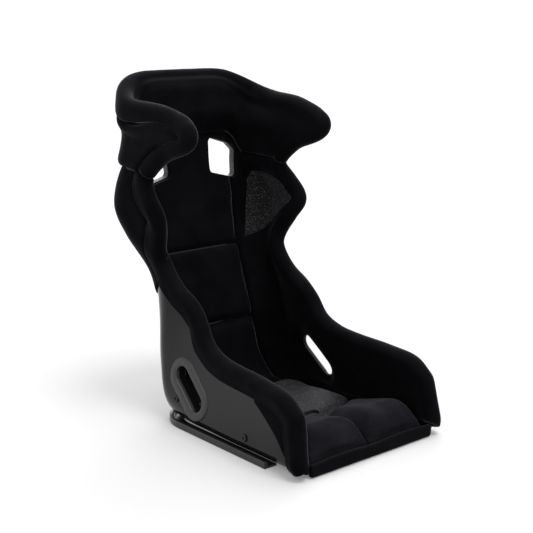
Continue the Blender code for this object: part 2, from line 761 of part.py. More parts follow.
def build_grip_patches():
    """Grip fabric on the inner face of each shoulder wing."""
    def where(s, t):
        u = mix(10.1, 12.9, s)
        low = mix(0.165, 0.185, s)
        return u, mix(low, reach(u) - 0.004, t)

    def under(u, a):
        inner = table(INNER_EDGE, u)
        t = (a - inner) / (reach(u) - inner)
        return bolster_lift(u, a, 0.0, t)

    verts, faces = [], []
    rows, cols, thick, lift = 8, 8, 0.0035, 0.003
    for layer in (lift, lift + thick):
        for i in range(rows + 1):
            for j in range(cols + 1):
                u, a = where(i / rows, j / cols)
                verts.append(lifted(u, a, under(u, a) + layer))
    stride, size = cols + 1, (rows + 1) * (cols + 1)
    for i in range(rows):
        for j in range(cols):
            quad = [i * stride + j, (i + 1) * stride + j, (i + 1) * stride + j + 1, i * stride + j + 1]
            faces += [tuple(quad), tuple(q + size for q in quad)]
    edge = [j for j in range(cols)] + [i * stride + cols for i in range(rows)]
    edge += [rows * stride + j for j in range(cols, 0, -1)] + [i * stride for i in range(rows, 0, -1)]
    for k, p in enumerate(edge):
        q = edge[(k + 1) % len(edge)]
        faces.append((p, q, q + size, p + size))
    grip = add_object("shoulder_grip_left", verts, faces, material("grip_fabric", (0.03, 0.03, 0.033), 1.0))
    mirrored(grip, "shoulder_grip_right")


# Belt openings ---------------------------------------------------------------------------------------

def build_shoulder_openings(shell, pad, bolster):
    outline = divided(rounded(SHOULDER_HOLE, SHOULDER_RADIUS))
    mat = material("belt_trim", (0.035, 0.035, 0.037), 0.45)

    def loop(out, lift):
        return [Vector((x, place(u_at_height(z), x).y - lift, z)) for x, z in outset(outline, out)]

    rear = -(SHELL_THICK + REAR_GAP)
    trim = ring("shoulder_belt_trim_left",
                [loop(0.0, 0.012), loop(SLEEVE, 0.012), loop(SLEEVE, rear), loop(0.009, rear),
                 loop(0.009, rear - 0.003), loop(0.0, rear - 0.003)], mat)
    mirrored(trim, "shoulder_belt_trim_right")
    hole = outset(outline, SLEEVE + 2 * TOUCH_GAP)
    sides = [[Vector((x, y + DEPTH_SHIFT, z)) for x, z in hole] for y in (0.60, 0.85)]
    cutter = as_cutter(prism("shoulder_hole_left", sides[0], sides[1], mat))
    twin = as_cutter(mirrored(cutter, "shoulder_hole_right"))
    for body in (shell, pad):
        cut(body, cutter)
        cut(body, twin)
    cut(bolster, cutter)
    return twin


def lap_loop(depth, run, radius):
    """Loop of the lap belt opening, a depth outside the shell's face; it slants rearwards outwards."""
    centre = (LAP_CENTRE[0] + 0.5 * depth + DEPTH_SHIFT, LAP_CENTRE[1] - 0.2 * depth)
    return [Vector((LAP_FACE + depth + LAP_SLOPE[0] * (y - centre[0]) + LAP_SLOPE[1] * (z - centre[1]), y, z))
            for y, z in stadium(centre, run, radius, LAP_ANGLE)]


def build_lap_openings(shell, bolster, shoulder_twin):
    mat = material("belt_bezel", (0.045, 0.045, 0.048), 0.4)
    chamfer = 0.002
    boss = prism("lap_belt_bezel_left", lap_loop(BEZEL_DEPTHS[0], LAP_RUN, BEZEL_RADIUS),
                 lap_loop(BEZEL_DEPTHS[1], LAP_RUN, BEZEL_RADIUS - chamfer), mat)
    wall = []
    for u in (2.0 + 0.25 * k for k in range(25)):
        flat, corner = profile(u)[:2]
        wall.append([(u, mix(flat + 0.1 * corner, reach(u) + 0.02, t / 11)) for t in range(12)])
    skin = Panel(wall, lambda u, a, s, t: 0.036, -(SHELL_THICK + 0.0013)).build("wall_clearance", mat)
    cut(boss, as_cutter(skin))
    opening = as_cutter(prism("lap_opening", lap_loop(-0.10, LAP_RUN, LAP_RADIUS),
                              lap_loop(0.06, LAP_RUN, LAP_RADIUS), mat))
    twin = as_cutter(mirrored(opening, "lap_opening_right"))
    cut(boss, opening)
    mirror = mirrored(boss, "lap_belt_bezel_right")
    others = (as_cutter(mirrored(skin, "wall_clearance_right")), twin)
    for mod, other in zip(mirror.modifiers, others):
        mod.object = other
    cut(shell, opening)
    cut(shell, twin)
    cut(bolster, opening)
    right = mirrored(bolster, "side_bolster_right")
    for mod, other in zip(right.modifiers, (shoulder_twin, twin)):
        mod.object = other


def build_crotch_opening(shell, cushion):
    mat = material("belt_trim", (0.035, 0.035, 0.037), 0.45)
    centre = (CROTCH_CENTRE[0], CROTCH_CENTRE[1] + DEPTH_SHIFT)
    outline = stadium(centre, CROTCH_RUN, CROTCH_RADIUS, 0.0)
    under = station(u_at_depth(CROTCH_CENTRE[1]))[1] - SHELL_THICK - TOUCH_GAP

    def loop(out, z):
        return [Vector((x, y, z)) for x, y in outset(outline, out)]

    ring("crotch_belt_trim", [loop(0.0, 0.036), loop(SLEEVE, 0.036), loop(SLEEVE, under), loop(0.009, under),
                              loop(0.009, under - 0.0025), loop(0.0, under - 0.0025)], mat)
    hole = outset(outline, SLEEVE + 2 * TOUCH_GAP)
    ends = [[Vector((x, y, z)) for x, y in hole] for z in (-0.05, 0.12)]
    cutter = as_cutter(prism("crotch_hole", ends[0], ends[1], mat))
    cut(shell, cutter)
    cut(cushion, cutter)


def main():
    for obj in list(bpy.data.objects):
        bpy.data.objects.remove(obj)
    shell = build_shell()
    build_base_flange()
    build_inserts(shell)
    bolster = build_bolster()
    build_head_pad()
    build_outer_covers()
    upper = build_back_pads()
    cushion = build_cushions()
    build_front_roll()
    build_grip_patches()
    shoulder_twin = build_shoulder_openings(shell, upper, bolster)
    build_lap_openings(shell, bolster, shoulder_twin)
    build_crotch_opening(shell, cushion)


main()
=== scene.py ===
"""Looks of the one-piece racing bucket seat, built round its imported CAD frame.

Every pad and cover follows the same curved reference surface as the CAD, the inner face of the
moulded shell. A place on it has two coordinates: u runs along the spine from the front edge to the
top of the head, and a is the distance in metres across the seat from its centre line.
"""

import functools
import json
import math

import bmesh
import bpy
from mathutils import Matrix, Vector, noise

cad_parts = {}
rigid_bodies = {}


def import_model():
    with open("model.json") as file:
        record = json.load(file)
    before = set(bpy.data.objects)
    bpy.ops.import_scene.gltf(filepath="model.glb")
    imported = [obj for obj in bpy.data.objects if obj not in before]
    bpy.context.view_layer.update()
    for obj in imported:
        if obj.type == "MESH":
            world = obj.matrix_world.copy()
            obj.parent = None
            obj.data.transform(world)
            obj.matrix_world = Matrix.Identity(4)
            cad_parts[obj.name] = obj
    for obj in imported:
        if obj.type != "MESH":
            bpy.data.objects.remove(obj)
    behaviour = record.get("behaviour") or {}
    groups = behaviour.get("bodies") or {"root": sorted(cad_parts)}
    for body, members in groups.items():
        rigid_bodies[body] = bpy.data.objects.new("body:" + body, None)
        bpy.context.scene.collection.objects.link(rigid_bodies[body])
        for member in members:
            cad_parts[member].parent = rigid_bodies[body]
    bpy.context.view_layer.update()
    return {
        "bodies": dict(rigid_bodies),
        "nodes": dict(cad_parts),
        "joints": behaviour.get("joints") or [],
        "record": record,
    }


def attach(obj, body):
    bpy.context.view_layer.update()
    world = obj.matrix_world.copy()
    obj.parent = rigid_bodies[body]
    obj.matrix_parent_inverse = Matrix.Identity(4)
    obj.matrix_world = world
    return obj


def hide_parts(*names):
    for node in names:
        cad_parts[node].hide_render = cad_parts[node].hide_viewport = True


# Driving dimensions, in metres
DEPTH_SHIFT = -0.3987         # puts the footprint's centre on the origin, as in the CAD
SHELL_THICK = 0.0045
SKIN_GAP = 0.0006             # pads lie this far off the shell
COVER_EDGE = 0.192            # outer covers start this far from the centre line
COVER_THICK = 0.008
COVER_START = 8.9             # station where the shoulder cover begins
FLUSH_THICK = 0.0155          # head guard: the cover's edge, level with the roll round it
WING_SWELL = 0.006            # head guard: how much fuller the middle of the cover is
ROLL_INNER = 0.027            # rim roll: foam inside the shell edge
ROLL_OUTER = 0.021            # rim roll: foam outside the shell edge
ROLL_BAND = 0.034             # how far the roll reaches down the outside of the shell
HEAD_BAND = 0.044             # the same behind the head
TIP_BAND = 0.016              # the same round the wings of the head guard
SEAM = 0.0012                 # half the gap between neighbouring pads
BACK_LIFT = 0.024             # thickness of the back pads and of the bolsters beside them
UPPER_LIFT = 0.022
HEAD_LIFT = 0.052             # foam behind the head
WING_LIFT = 0.038             # foam along the top edge
CUSHION_HALF = 0.1985         # half width of the seat cushion

# Stations along the seat: spine y, z | rim y, z | half width at base, at rim | corner radius
STATIONS = (
    (0.000, 0.012, 0.026, 0.145, 0.241, 0.229, 0.030),   # front edge
    (0.060, 0.012, 0.075, 0.178, 0.244, 0.228, 0.030),
    (0.160, 0.012, 0.170, 0.189, 0.245, 0.222, 0.030),
    (0.270, 0.012, 0.265, 0.194, 0.246, 0.217, 0.030),
    (0.370, 0.012, 0.345, 0.205, 0.247, 0.213, 0.034),
    (0.465, 0.012, 0.405, 0.235, 0.250, 0.207, 0.042),
    (0.556, 0.024, 0.440, 0.283, 0.254, 0.202, 0.065),   # pan turns into the back
    (0.602, 0.105, 0.475, 0.318, 0.256, 0.198, 0.088),
    (0.628, 0.210, 0.535, 0.352, 0.256, 0.200, 0.096),
    (0.660, 0.310, 0.583, 0.400, 0.258, 0.203, 0.092),
    (0.700, 0.410, 0.599, 0.450, 0.266, 0.217, 0.085),   # waist
    (0.728, 0.500, 0.570, 0.510, 0.280, 0.235, 0.075),
    (0.746, 0.570, 0.550, 0.555, 0.284, 0.253, 0.070),   # shoulder
    (0.760, 0.625, 0.595, 0.607, 0.266, 0.250, 0.075),
    (0.768, 0.670, 0.624, 0.655, 0.240, 0.237, 0.080),   # neck
    (0.772, 0.725, 0.550, 0.720, 0.212, 0.232, 0.080),
    (0.776, 0.780, 0.450, 0.757, 0.214, 0.232, 0.092),
    (0.787, 0.840, 0.433, 0.785, 0.245, 0.232, 0.108),   # tip of the head guard
    (0.797, 0.899, 0.462, 0.808, 0.258, 0.228, 0.138),   # top edge
)
LAST = len(STATIONS) - 1

# Half widths, measured across the surface, where the side bolsters begin, at chosen stations
INNER_EDGE = ((0, 0.236), (3, 0.236), (4, 0.228), (5, 0.200), (6, 0.160), (7, 0.136), (8, 0.128),
              (10, 0.130), (11, 0.140), (12, 0.148), (LAST, 0.150))

# Seams along the spine
CUSHION_END = 5.55
LUMBAR_START = 8.0
UPPER_START = 10.05
HEAD_START = 15.25
NECK = 14.12
NECK_SEAM = 0.02              # half the gap there, in stations
PAD_SEAM = 0.012              # half the gap between back pads, in stations

DIP_START = 15.0              # the top edge dips where the back of the head guard meets the wings
DIP = 0.028
DIP_CENTRE = 0.30             # distance across from the centre line
DIP_WIDTH = 0.18


def smooth(t):
    """Ease from 0 to 1."""
    t = min(max(t, 0.0), 1.0)
    return t * t * (3 - 2 * t)


def mix(low, high, t):
    return low + (high - low) * t


def table(rows, key):
    """Linear look-up in rows of (key, value)."""
    for (k0, v0), (k1, v1) in zip(rows, rows[1:]):
        if key <= k1:
            return mix(v0, v1, max(0.0, (key - k0) / (k1 - k0)))
    return rows[-1][1]


# The reference surface -------------------------------------------------------------------------

@functools.lru_cache(maxsize=None)
def station(u):
    """Station values at u, by a Catmull-Rom spline through the table."""
    u = min(max(u, 0.0), float(LAST))
    i = min(int(u), LAST - 1)
    t = u - i
    rows = [STATIONS[min(max(k, 0), LAST)] for k in (i - 1, i, i + 1, i + 2)]
    if i == 0:
        rows[0] = tuple(2 * a - b for a, b in zip(STATIONS[0], STATIONS[1]))
    if i == LAST - 1:
        rows[3] = tuple(2 * a - b for a, b in zip(STATIONS[LAST], STATIONS[LAST - 1]))
    out = []
    for p0, p1, p2, p3 in zip(*rows):
        slope1, slope2 = (p2 - p0) / 2, (p3 - p1) / 2
        out.append(p1 * (1 + 2 * t) * (1 - t) ** 2 + slope1 * t * (1 - t) ** 2
                   + p2 * t * t * (3 - 2 * t) + slope2 * t * t * (t - 1))
    return out


@functools.lru_cache(maxsize=None)
def profile(u):
    """Lengths of the flat, the corner and the wall of the section at u, with its directions."""
    sy, sz, ey, ez, base, rim, radius = station(u)
    depth = math.hypot(ey - sy, ez - sz)
    turn = math.atan2(depth, rim - base)
    tangent = radius * math.tan(turn / 2)
    flat = base - tangent
    wall = math.hypot(depth, rim - base) - tangent
    return flat, radius * turn, wall, turn, radius, (sy, sz), ((ey - sy) / depth, (ez - sz) / depth)


def reach(u):
    """Distance across the surface from the centre line to the rim."""
    flat, corner, wall = profile(u)[:3]
    return flat + corner + wall


def place(u, a):
    """Point of the reference surface; a may be negative, and may run past the rim."""
    flat, corner, _, turn, radius, start, rise = profile(u)
    d = abs(a)
    if d <= flat:
        x, h = d, 0.0
    elif d <= flat + corner:
        phi = (d - flat) / radius
        x, h = flat + radius * math.sin(phi), radius * (1 - math.cos(phi))
    else:
        run = d - flat - corner
        x = flat + radius * math.sin(turn) + run * math.cos(turn)
        h = radius * (1 - math.cos(turn)) + run * math.sin(turn)
    swell = smooth((u - DIP_START) / (LAST - DIP_START))
    dip = DIP * swell * smooth(1 - abs(d - DIP_CENTRE) / DIP_WIDTH)
    y, z = start[0] + rise[0] * h + DEPTH_SHIFT, start[1] + rise[1] * h - dip
    return Vector((math.copysign(x, a), y, z))


def frame_at(u, a):
    """Surface derivatives along u and a, and the unit normal towards the occupant."""
    u0, u1 = max(u - 0.02, 0.0), min(u + 0.02, float(LAST))
    along = (place(u1, a) - place(u0, a)) / (u1 - u0)
    across = (place(u, a + 0.0005) - place(u, a - 0.0005)) / 0.001
    return along, across, across.cross(along).normalized()


def surface_step(direction, along, across):
    """Changes of u and a that move a point by a unit direction in the surface."""
    uu, ua, aa = along.length_squared, along.dot(across), across.length_squared
    right_u, right_a = direction.dot(along), direction.dot(across)
    scale = uu * aa - ua * ua
    return (aa * right_u - ua * right_a) / scale, (uu * right_a - ua * right_u) / scale


def lifted(u, a, lift):
    """Point at a height above the reference surface."""
    return place(u, a) + frame_at(u, a)[2] * lift


def grid_of(rows, cols, where):
    """Grid of (u, a) places from where(s, t), with s and t from 0 to 1."""
    return [[where(i / rows, j / cols) for j in range(cols + 1)] for i in range(rows + 1)]


def solve(function, target, low, high):
    """Where a rising function reaches the target."""
    for _ in range(20):
        middle = (low + high) / 2
        low, high = (middle, high) if function(middle) < target else (low, middle)
    return low


def u_at_depth(y):
    """Station of a point on the pan, y metres behind the front edge."""
    return solve(lambda u: station(u)[0], y, 0.0, 6.0)


def u_at_height(z):
    """Station of a point on the back, z metres above the floor."""
    return solve(lambda u: station(u)[1], z, 6.0, LAST)


# Outlines ----------------------------------------------------------------------------------------

def stadium(centre, half_run, radius, angle, steps=8):
    """Points round a slot with round ends, anticlockwise."""
    points = []
    for end in (1, -1):
        for k in range(steps + 1):
            phi = angle - math.pi / 2 + math.pi * k / steps + (0 if end > 0 else math.pi)
            points.append((centre[0] + end * half_run * math.cos(angle) + radius * math.cos(phi),
                           centre[1] + end * half_run * math.sin(angle) + radius * math.sin(phi)))
    return points


def rounded(corners, radius, steps=4):
    """Points round a polygon with round corners, anticlockwise."""
    points = []
    for k, corner in enumerate(corners):
        here = Vector(corner)
        before = Vector(corners[k - 1]) - here
        after = Vector(corners[(k + 1) % len(corners)]) - here
        half = before.angle(after) / 2
        inwards = (before.normalized() + after.normalized()).normalized()
        middle = here + inwards * radius / math.sin(half)
        start = here + before.normalized() * radius / math.tan(half) - middle
        sweep = math.pi - 2 * half
        for n in range(steps + 1):
            points.append(tuple(middle + Matrix.Rotation(sweep * n / steps, 2) @ start))
    return points


def divided(outline, step=0.014):
    """The outline with its long straight stretches divided."""
    points = []
    for k, point in enumerate(outline):
        here, there = Vector(point), Vector(outline[(k + 1) % len(outline)])
        count = max(1, round((there - here).length / step))
        points += [tuple(here.lerp(there, n / count)) for n in range(count)]
    return points


def outset(outline, distance):
    """The outline moved outwards by a distance."""
    moved = []
    for k, point in enumerate(outline):
        edge = Vector(outline[(k + 1) % len(outline)]) - Vector(outline[k - 1])
        moved.append((point[0] + edge.y / edge.length * distance,
                      point[1] - edge.x / edge.length * distance))
    return moved


# Meshes ------------------------------------------------------------------------------------------

NOSE_STEPS = 12
BAND_STEPS = 6
BOLSTER_COLUMNS = 18


def new_object(name, verts, faces, mat):
    mesh = bpy.data.meshes.new(name)
    mesh.from_pydata([tuple(v) for v in verts], [], faces)
    bm = bmesh.new()
    bm.from_mesh(mesh)
    bmesh.ops.recalc_face_normals(bm, faces=bm.faces)
    bm.to_mesh(mesh)
    bm.free()
    mesh.polygons.foreach_set("use_smooth", [True] * len(mesh.polygons))
    mesh.materials.append(mat)
    obj = bpy.data.objects.new(name, mesh)
    bpy.context.scene.collection.objects.link(obj)
    return obj


def applied(obj):
    """Replace the mesh by what the modifiers make of it."""
    bpy.context.view_layer.update()
    graph = bpy.context.evaluated_depsgraph_get()
    mesh = bpy.data.meshes.new_from_object(obj.evaluated_get(graph))
    mesh.name = obj.name
    obj.modifiers.clear()
    obj.data = mesh
    return obj


def subdivided(obj, levels=1):
    mod = obj.modifiers.new("subdivision", "SUBSURF")
    mod.levels = mod.render_levels = levels
    return applied(obj)


def crisp(obj, degrees=38):
    """Smooth shading with sharp edges where faces meet at more than this angle."""
    obj.data.polygons.foreach_set("use_smooth", [True] * len(obj.data.polygons))
    obj.data.set_sharp_from_angle(angle=math.radians(degrees))
    return obj


def ripple(obj, amount, size, seed):
    """Gentle unevenness of stuffed fabric: points move along their normals by smooth noise."""
    mesh = obj.data
    offset = Vector((seed * 7.3, seed * 3.1, seed * 5.7))
    moves = [v.normal * amount * noise.noise(v.co / size + offset) for v in mesh.vertices]
    for v, move in zip(mesh.vertices, moves):
        v.co += move
    mesh.update()
    return obj


def mirrored(obj, name):
    mesh = obj.data.copy()
    mesh.transform(Matrix.Diagonal((-1, 1, 1, 1)))
    mesh.flip_normals()
    mesh.name = name
    twin = bpy.data.objects.new(name, mesh)
    bpy.context.scene.collection.objects.link(twin)
    return twin


def cut(obj, *cutters):
    """Take the cutters out of an object."""
    for cutter in cutters:
        mod = obj.modifiers.new("opening", "BOOLEAN")
        mod.object, mod.operation, mod.solver = cutter, "DIFFERENCE", "EXACT"
    applied(obj)
    return crisp(obj)


class Panel:
    """A grid of (u, a) places, turned into a closed solid with plain or rolled edges.

    rolled names the edges that wrap round the shell: "rim" at the end of a, "left" at its start,
    "front" at the start of u and "top" at its end.
    """

    def __init__(self, grid, front, back, rolled=(), band=None, hem=COVER_THICK):
        self.grid, self.front, self.back, self.rolled, self.band = grid, front, back, rolled, band
        self.hem = hem
        self.rows, self.cols = len(grid), len(grid[0])
        self.verts, self.faces = [], []

    def loop(self):
        """Boundary cells in order, with the edge that each stretch after them belongs to."""
        rows, cols = self.rows, self.cols
        cells = [((0, j), "front") for j in range(cols - 1)]
        cells += [((i, cols - 1), "rim") for i in range(rows - 1)]
        cells += [((rows - 1, j), "top") for j in range(cols - 1, 0, -1)]
        cells += [((i, 0), "left") for i in range(rows - 1, 0, -1)]
        return cells

    def point(self, u, a, lift):
        self.verts.append(lifted(u, a, lift))
        return len(self.verts) - 1

    def outward(self, before, here, after):
        """Direction out of the panel, in the surface, at one boundary cell."""
        tangent = place(*after) - place(*before)
        return tangent.cross(frame_at(*here)[2]).normalized()

    def beyond(self, before, here):
        """The place on the rim one step past the panel's end, or the end itself on a front edge."""
        if before[0] == here[0]:
            return here
        u = min(max(2 * here[0] - before[0], 0.0), float(LAST))
        return u, math.copysign(reach(u), here[1])

    def ladder(self, here, out, first, last):
        """Matched outer and inner points round the shell's edge at one boundary cell."""
        u, a = here
        along, across, normal = frame_at(u, a)
        du, da = surface_step(out, along, across)
        edge = place(u, a)
        outer, inner = [first], [last]
        centre, radius = (ROLL_INNER - ROLL_OUTER) / 2, (ROLL_INNER + ROLL_OUTER) / 2
        under = SHELL_THICK + SKIN_GAP
        for k in range(1, NOSE_STEPS + 1):
            phi = math.pi / 2 - math.pi * k / NOSE_STEPS
            rise = centre + radius * math.sin(phi)
            self.verts.append(edge + out * (radius * math.cos(phi)) + normal * rise)
            outer.append(len(self.verts) - 1)
            rise = mix(SKIN_GAP, -under, k / NOSE_STEPS)
            self.verts.append(edge + out * SKIN_GAP + normal * rise)
            inner.append(len(self.verts) - 1)
        for k in range(1, BAND_STEPS + 1):
            t = k / BAND_STEPS
            s = self.band(u, a) * t
            cu, ca = min(max(u - du * s, 0.0), LAST), a - da * s
            outer.append(self.point(cu, ca, -mix(ROLL_OUTER, under + self.hem, smooth(t))))
            inner.append(self.point(cu, ca, -under))
        return outer, inner

    def strip(self, p, q):
        """Faces between the ladders of two neighbouring boundary cells."""
        for side in (0, 1):
            for k in range(len(p[0]) - 1):
                self.faces.append((p[side][k], p[side][k + 1], q[side][k + 1], q[side][k]))
        self.faces.append((p[0][-1], p[1][-1], q[1][-1], q[0][-1]))

    def cap(self, p):
        for k in range(len(p[0]) - 1):
            self.faces.append((p[0][k], p[0][k + 1], p[1][k + 1], p[1][k]))

    def build(self, name, mat):
        cells = self.loop()
        count = len(cells)
        tops = [[0] * self.cols for _ in range(self.rows)]
        backs = [[0] * self.cols for _ in range(self.rows)]
        rolled_cells = {}
        for n, (cell, side) in enumerate(cells):
            if side in self.rolled or cells[n - 1][1] in self.rolled:
                here = self.grid[cell[0]][cell[1]]
                beside = cells[n - 1][0], cells[(n + 1) % count][0]
                before, after = [self.grid[i][j] for i, j in beside]
                if side not in self.rolled:
                    after = self.beyond(before, here)
                if cells[n - 1][1] not in self.rolled:
                    before = self.beyond(after, here)
                rolled_cells[cell] = self.outward(before, here, after)
        for i, row in enumerate(self.grid):
            for j, (u, a) in enumerate(row):
                on_roll = (i, j) in rolled_cells
                s, t = i / (self.rows - 1), j / (self.cols - 1)
                lift = ROLL_INNER if on_roll else self.front(u, a, s, t)
                tops[i][j] = self.point(u, a, lift)
                backs[i][j] = self.point(u, a, self.back)
                if on_roll:
                    self.verts[-1] += rolled_cells[(i, j)] * SKIN_GAP
        for i in range(self.rows - 1):
            for j in range(self.cols - 1):
                for net in (tops, backs):
                    self.faces.append((net[i][j], net[i + 1][j], net[i + 1][j + 1], net[i][j + 1]))
        ladders = {c: self.ladder(self.grid[c[0]][c[1]], out, tops[c[0]][c[1]], backs[c[0]][c[1]])
                   for c, out in rolled_cells.items()}
        for n, (cell, side) in enumerate(cells):
            nxt = cells[(n + 1) % count][0]
            if side in self.rolled:
                self.strip(ladders[cell], ladders[nxt])
            else:
                (i, j), (k, m) = cell, nxt
                self.faces.append((tops[i][j], tops[k][m], backs[k][m], backs[i][j]))
            if (side in self.rolled) != (cells[n - 1][1] in self.rolled):
                self.cap(ladders[cell])
        return new_object(name, self.verts, self.faces, mat)


def tube(name, loops, mat, closed=False):
    """Solid through a row of matching point loops: capped at its ends, or closed into a ring."""
    count = len(loops[0])
    verts = [p for loop in loops for p in loop]
    faces = []
    for k in range(len(loops) if closed else len(loops) - 1):
        m = (k + 1) % len(loops)
        for n in range(count):
            after = (n + 1) % count
            faces.append((k * count + n, k * count + after, m * count + after, m * count + n))
    if not closed:
        faces += [tuple(range(count)), tuple(len(verts) - 1 - n for n in range(count))]
    return new_object(name, verts, faces, mat)


def prism(name, first, last, mat):
    """Closed solid between two matching point loops."""
    count = len(first)
    faces = [tuple(range(count)), tuple(range(2 * count - 1, count - 1, -1))]
    faces += [(k, (k + 1) % count, count + (k + 1) % count, count + k) for k in range(count)]
    return new_object(name, first + last, faces, mat)


def inflated(obj, cap, pressure=4.0, voxel=0.005):
    """Fill a pad by cloth simulation: its cover swells under pressure, by no more than the cap."""
    mod = obj.modifiers.new("remesh", "REMESH")
    mod.mode, mod.voxel_size = "VOXEL", voxel
    applied(obj)
    rest = [(v.co.copy(), v.normal.copy()) for v in obj.data.vertices]
    cloth = obj.modifiers.new("cloth", "CLOTH")
    cloth.settings.quality = 4
    cloth.settings.use_pressure = True
    cloth.settings.uniform_pressure_force = pressure
    cloth.settings.effector_weights.gravity = 0.0
    cloth.collision_settings.use_collision = False
    cloth.point_cache.frame_start, cloth.point_cache.frame_end = 1, FRAMES
    scene = bpy.context.scene
    for frame in range(1, FRAMES + 1):
        scene.frame_set(frame)
    applied(obj)
    for v, (start, normal) in zip(obj.data.vertices, rest):
        v.co = start + normal * min(max((v.co - start).dot(normal), 0.0), cap)
    scene.frame_set(1)
    relax = obj.modifiers.new("relax", "SMOOTH")
    relax.factor, relax.iterations = 0.5, 4
    applied(obj)
    return subdivided(obj)


# Materials ---------------------------------------------------------------------------------------

class Surface:
    """A material with short calls for adding nodes."""

    def __init__(self, name):
        self.mat = bpy.data.materials.new(name)
        self.mat.use_nodes = True
        self.tree = self.mat.node_tree
        self.shader = self.tree.nodes["Principled BSDF"]
        self.where = self.tree.nodes.new("ShaderNodeTexCoord").outputs["Object"]

    def set(self, **values):
        for key, value in values.items():
            self.shader.inputs[key.replace("_", " ")].default_value = value

    def link(self, start, end):
        self.tree.links.new(start, end)

    def feed(self, source, name):
        self.link(source, self.shader.inputs[name])

    def noise(self, scale, detail=2.0, roughness=0.5):
        node = self.tree.nodes.new("ShaderNodeTexNoise")
        node.inputs["Scale"].default_value = scale
        node.inputs["Detail"].default_value = detail
        node.inputs["Roughness"].default_value = roughness
        self.link(self.where, node.inputs["Vector"])
        return node.outputs["Fac"]

    def cells(self, scale):
        node = self.tree.nodes.new("ShaderNodeTexVoronoi")
        node.inputs["Scale"].default_value = scale
        self.link(self.where, node.inputs["Vector"])
        return node.outputs["Distance"]

    def ramp(self, source, stops):
        node = self.tree.nodes.new("ShaderNodeValToRGB")
        ramp = node.color_ramp
        while len(ramp.elements) < len(stops):
            ramp.elements.new(0.5)
        for element, (position, colour) in zip(ramp.elements, stops):
            element.position = position
            element.color = (*colour, 1.0)
        self.link(source, node.inputs["Fac"])
        return node.outputs["Color"]

    def span(self, source, low, high):
        node = self.tree.nodes.new("ShaderNodeMapRange")
        node.inputs["To Min"].default_value = low
        node.inputs["To Max"].default_value = high
        self.link(source, node.inputs["Value"])
        return node.outputs["Result"]

    def math(self, operation, first, second):
        node = self.tree.nodes.new("ShaderNodeMath")
        node.operation = operation
        for socket, value in zip(node.inputs, (first, second)):
            if isinstance(value, float):
                socket.default_value = value
            else:
                self.link(value, socket)
        return node.outputs["Value"]

    def bump(self, height, strength, distance, below=None):
        node = self.tree.nodes.new("ShaderNodeBump")
        node.inputs["Strength"].default_value = strength
        node.inputs["Distance"].default_value = distance
        self.link(height, node.inputs["Height"])
        if below:
            self.link(below, node.inputs["Normal"])
        return node.outputs["Normal"]


def velour(name, light=1.0):
    """Short-pile velour: nearly black face on, with a cool sheen where the pile is seen edge on."""
    s = Surface(name)
    brushed = s.noise(11.0, 3.0, 0.6)
    # light scales the base colour: above 1 it paints the light falling on a piece, below 1 it
    # paints shade on it.
    low = (0.0011 * light, 0.0011 * light, 0.0015 * light)
    high = (0.0028 * light, 0.0028 * light, 0.0036 * light)
    s.feed(s.ramp(brushed, ((0.32, low), (0.70, high))), "Base Color")
    s.feed(s.span(s.noise(38.0, 2.0), 0.80, 0.96), "Roughness")
    pile = s.bump(s.noise(1250.0, 2.0, 0.7), 0.35, 0.0006)
    cloth = s.bump(s.noise(70.0, 3.0, 0.6), 0.22, 0.0022, pile)
    s.feed(cloth, "Normal")
    s.set(Sheen_Weight=0.14, Sheen_Roughness=0.30, Sheen_Tint=(0.64, 0.61, 0.74, 1.0),
          Specular_IOR_Level=0.03)
    return s.mat


def grip_fabric(name):
    """Rubber-dotted grip fabric: charcoal with light flecks."""
    s = Surface(name)
    flecks = s.math("MULTIPLY", s.noise(240.0, 2.0, 0.8), s.span(s.cells(330.0), 1.25, 0.65))
    s.feed(s.ramp(flecks, ((0.44, (0.0030, 0.0030, 0.0036)), (0.56, (0.008, 0.008, 0.0095)),
                           (0.70, (0.090, 0.088, 0.094)))), "Base Color")
    s.feed(s.span(s.noise(160.0), 0.62, 0.9), "Roughness")
    s.feed(s.bump(flecks, 0.55, 0.0012, s.bump(s.noise(55.0, 2.0), 0.15, 0.002)), "Normal")
    s.set(Sheen_Weight=0.08, Sheen_Roughness=0.5, Sheen_Tint=(0.7, 0.68, 0.75, 1.0),
          Specular_IOR_Level=0.12)
    return s.mat


def gelcoat(name):
    """Glossy black gelcoat with slight orange peel and handling marks."""
    s = Surface(name)
    shades = ((0.3, (0.0035, 0.0035, 0.0037)), (0.75, (0.0060, 0.0060, 0.0062)))
    s.feed(s.ramp(s.noise(7.0, 4.0, 0.6), shades), "Base Color")
    s.feed(s.span(s.noise(24.0, 5.0, 0.65), 0.08, 0.20), "Roughness")
    peel = s.bump(s.noise(150.0, 2.0), 0.035, 0.001)
    s.feed(s.bump(s.noise(6.0, 1.0), 0.12, 0.004, peel), "Normal")
    s.set(Specular_IOR_Level=0.24)
    return s.mat


def moulding(name, colour, roughness):
    """Fine-grained moulded plastic."""
    s = Surface(name)
    dark = tuple(c * 0.8 for c in colour)
    s.feed(s.ramp(s.noise(30.0, 4.0), ((0.3, dark), (0.7, colour))), "Base Color")
    s.feed(s.span(s.noise(90.0, 3.0), roughness - 0.06, roughness + 0.08), "Roughness")
    s.feed(s.bump(s.noise(900.0, 2.0), 0.12, 0.0004), "Normal")
    return s.mat


def hooks(name):
    """Hook-and-loop tape."""
    s = Surface(name)
    loops = s.cells(900.0)
    shades = ((0.2, (0.006, 0.006, 0.006)), (0.8, (0.003, 0.003, 0.003)))
    s.feed(s.ramp(loops, shades), "Base Color")
    s.feed(s.bump(loops, 0.6, 0.0008), "Normal")
    s.set(Roughness=0.95, Specular_IOR_Level=0.05)
    return s.mat
